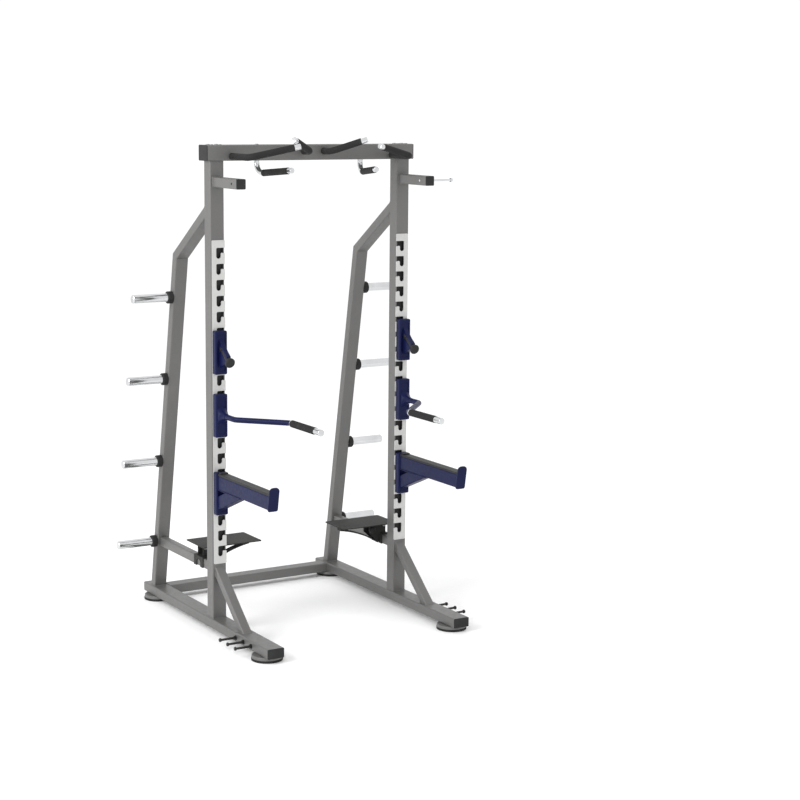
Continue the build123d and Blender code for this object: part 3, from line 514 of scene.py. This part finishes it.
# %% Beads on the safety arms
for word, sign in sides():
    low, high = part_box("safety_arm_" + word)
    block_low, block_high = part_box("safety_block_" + word)
    brace_low, brace_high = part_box("safety_brace_" + word)
    middle = Vector(((low.x + high.x) / 2, block_low.y, (low.z + high.z) / 2))
    arm_bead = bead(rectangle_path(middle, right, up, (high.x - low.x) / 2, (high.z - low.z) / 2), back)
    under = Vector((middle.x, (brace_low.y + block_low.y) / 2, low.z))
    brace_bead = bead(rectangle_path(under, right, back, (high.x - low.x) / 2,
                                     (block_low.y - brace_low.y) / 2), up)
    piece("safety_weld_beads_" + word, *joined([arm_bead, brace_bead]), "safety_arm_" + word, "navy_paint")

# %% [markdown]
# ### Ribbed grips
#
# The dip grips are rubber sleeves with a fine rib every few millimetres. Ribs that small could be
# left to bump, but the grips point at the viewer and their outline shows them. So each grip gets a
# thin sleeve whose radius rises and falls along its length.

# %% Ribs on the dip grips
rib_pitch, rib_height, sleeve_skin = 0.0058, 0.0010, 0.0002
for word, sign in sides():
    low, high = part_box("dip_grip_" + word)
    radius = (high.z - low.z) / 2
    ribs = int((high.y - low.y) / rib_pitch)
    path, radii = [], []
    for index in range(ribs * 4 + 1):
        share = index / (ribs * 4)
        path.append(Vector(((low.x + high.x) / 2, low.y + (high.y - low.y) * share, (low.z + high.z) / 2)))
        radii.append(radius + sleeve_skin + rib_height * math.sin(math.pi * index / 4) ** 2)
    piece("dip_grip_ribs_" + word, *carried_ring(path, radii, up, 28, closed=False),
          "dip_handle_" + word, "black_rubber")
print("ribs on each dip grip:", ribs)

# %% [markdown]
# ### Serrated knobs
#
# A knob that is pulled or turned has ridges round its rim for the fingers. They are short rods laid
# along the rim, half sunk in the knob.

# %% Ridges round the knobs
ridge_radius = 0.0017


def ridges(middle, axis, radius, length, count):
    """Short rods round a knob's rim, each along the knob's own axis."""
    aside = axis.orthogonal().normalized()
    upwards = axis.cross(aside)
    parts = []
    for index in range(count):
        angle = 2 * math.pi * index / count
        out = aside * math.cos(angle) + upwards * math.sin(angle)
        start = middle + out * radius - axis * length / 2
        path = [start + axis * length * share for share in (0.0, 0.12, 0.88, 1.0)]
        radii = [ridge_radius * share for share in (0.35, 1.0, 1.0, 0.35)]
        parts.append(carried_ring(path, radii, out, 6, closed=False))
    return joined(parts)


hook_tilt = math.radians(18.0)
for word, sign in sides():
    low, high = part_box("hook_knob_" + word)
    radius = (high.x - low.x) / 2
    axis = Vector((0, -math.cos(hook_tilt), -math.sin(hook_tilt)))
    piece("hook_knob_ridges_" + word, *ridges((low + high) / 2, axis, radius - 0.0006, 0.008, 26),
          "bar_hook_" + word, "black_plastic")
    low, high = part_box("platform_lock_knob_" + word)
    radius = (high.x - low.x) / 2
    middle = Vector(((low.x + high.x) / 2, low.y + 0.010, (low.z + high.z) / 2))
    piece("lock_knob_ridges_" + word, *ridges(middle, back, radius - 0.0006, 0.012, 20),
          "platform_lock_" + word, "black_plastic")

# %% [markdown]
# ### Nuts at the band pegs
#
# Each peg is a threaded stud with a hexagon nut and a washer against the base rail. A hexagon is a
# carried ring with six points, and a washer is the same ring with many.

# %% Nuts and washers
def disc(start, axis, thickness, radius, count, edge=0.0006):
    """A flat round or many-sided plate with softened rims."""
    path = [start, start + axis * edge, start + axis * (thickness - edge), start + axis * thickness]
    return carried_ring(path, [radius - edge, radius, radius, radius - edge],
                        axis.orthogonal().normalized(), count, closed=False)


peg_low, peg_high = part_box("band_pegs")
head_radius = (peg_high.z - peg_low.z) / 2
peg_z = (peg_high.z + peg_low.z) / 2
first_y, last_y = peg_low.y + head_radius, peg_high.y - head_radius
hardware = []
for word, sign in sides():
    rail_low, rail_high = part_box("base_rail_" + word)
    face_x = rail_high.x if sign > 0 else rail_low.x
    for share in (0.0, 0.5, 1.0):
        spot = Vector((face_x, first_y + (last_y - first_y) * share, peg_z))
        hardware.append(disc(spot, right * sign, 0.0016, 0.0125, 28))
        hardware.append(disc(spot + right * sign * 0.0016, right * sign, 0.0085, 0.0105, 6))
piece("band_peg_nuts", *joined(hardware), "frame", "dark_steel", smooth=False)

# %% [markdown]
# ### Dark behind the slots
#
# Behind each slot is the inside of the upright, which no light reaches. A black sheet stands there as painted
# shade, just behind the room that a stud's head needs, so the slots look deep and dark.

# %% Painted shade sheets behind the slots
shade_sheet_gap, shade_sheet_thickness = 0.013, 0.0015
for word, sign in sides():
    low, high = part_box("wear_plate_" + word)
    post_low, post_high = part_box("upright_" + word)
    x0, x1 = post_low.x + 0.0045, post_high.x - 0.0045
    y0 = post_low.y + shade_sheet_gap
    y1 = y0 + shade_sheet_thickness
    corners = [Vector((x, y, z)) for x in (x0, x1) for y in (y0, y1) for z in (low.z, high.z)]
    quads = [(0, 1, 3, 2), (4, 6, 7, 5), (0, 4, 5, 1), (2, 3, 7, 6), (0, 2, 6, 4), (1, 5, 7, 3)]
    # A black sheet that paints shade behind the slots, in the black plastic finish.
    piece("slot_shade_sheet_" + word, corners, quads, "frame", "black_plastic", smooth=False)

# %% [markdown]
# ### Bolts in the platforms' stays
#
# A round-headed bolt goes through the lower end of each stay, which stiffens it where it bears on
# the side rail. It folds up with the platform.

# %% Stay bolts
for word, sign in sides():
    low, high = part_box("platform_strut_" + word)
    spot = Vector((sign * 0.464, low.y, 0.346))
    piece("stay_bolt_" + word, *disc(spot, -back, 0.005, 0.008, 24, 0.002), "platform_" + word, "dark_steel")
print(len(made), "small pieces,", sum(made.values()), "points")
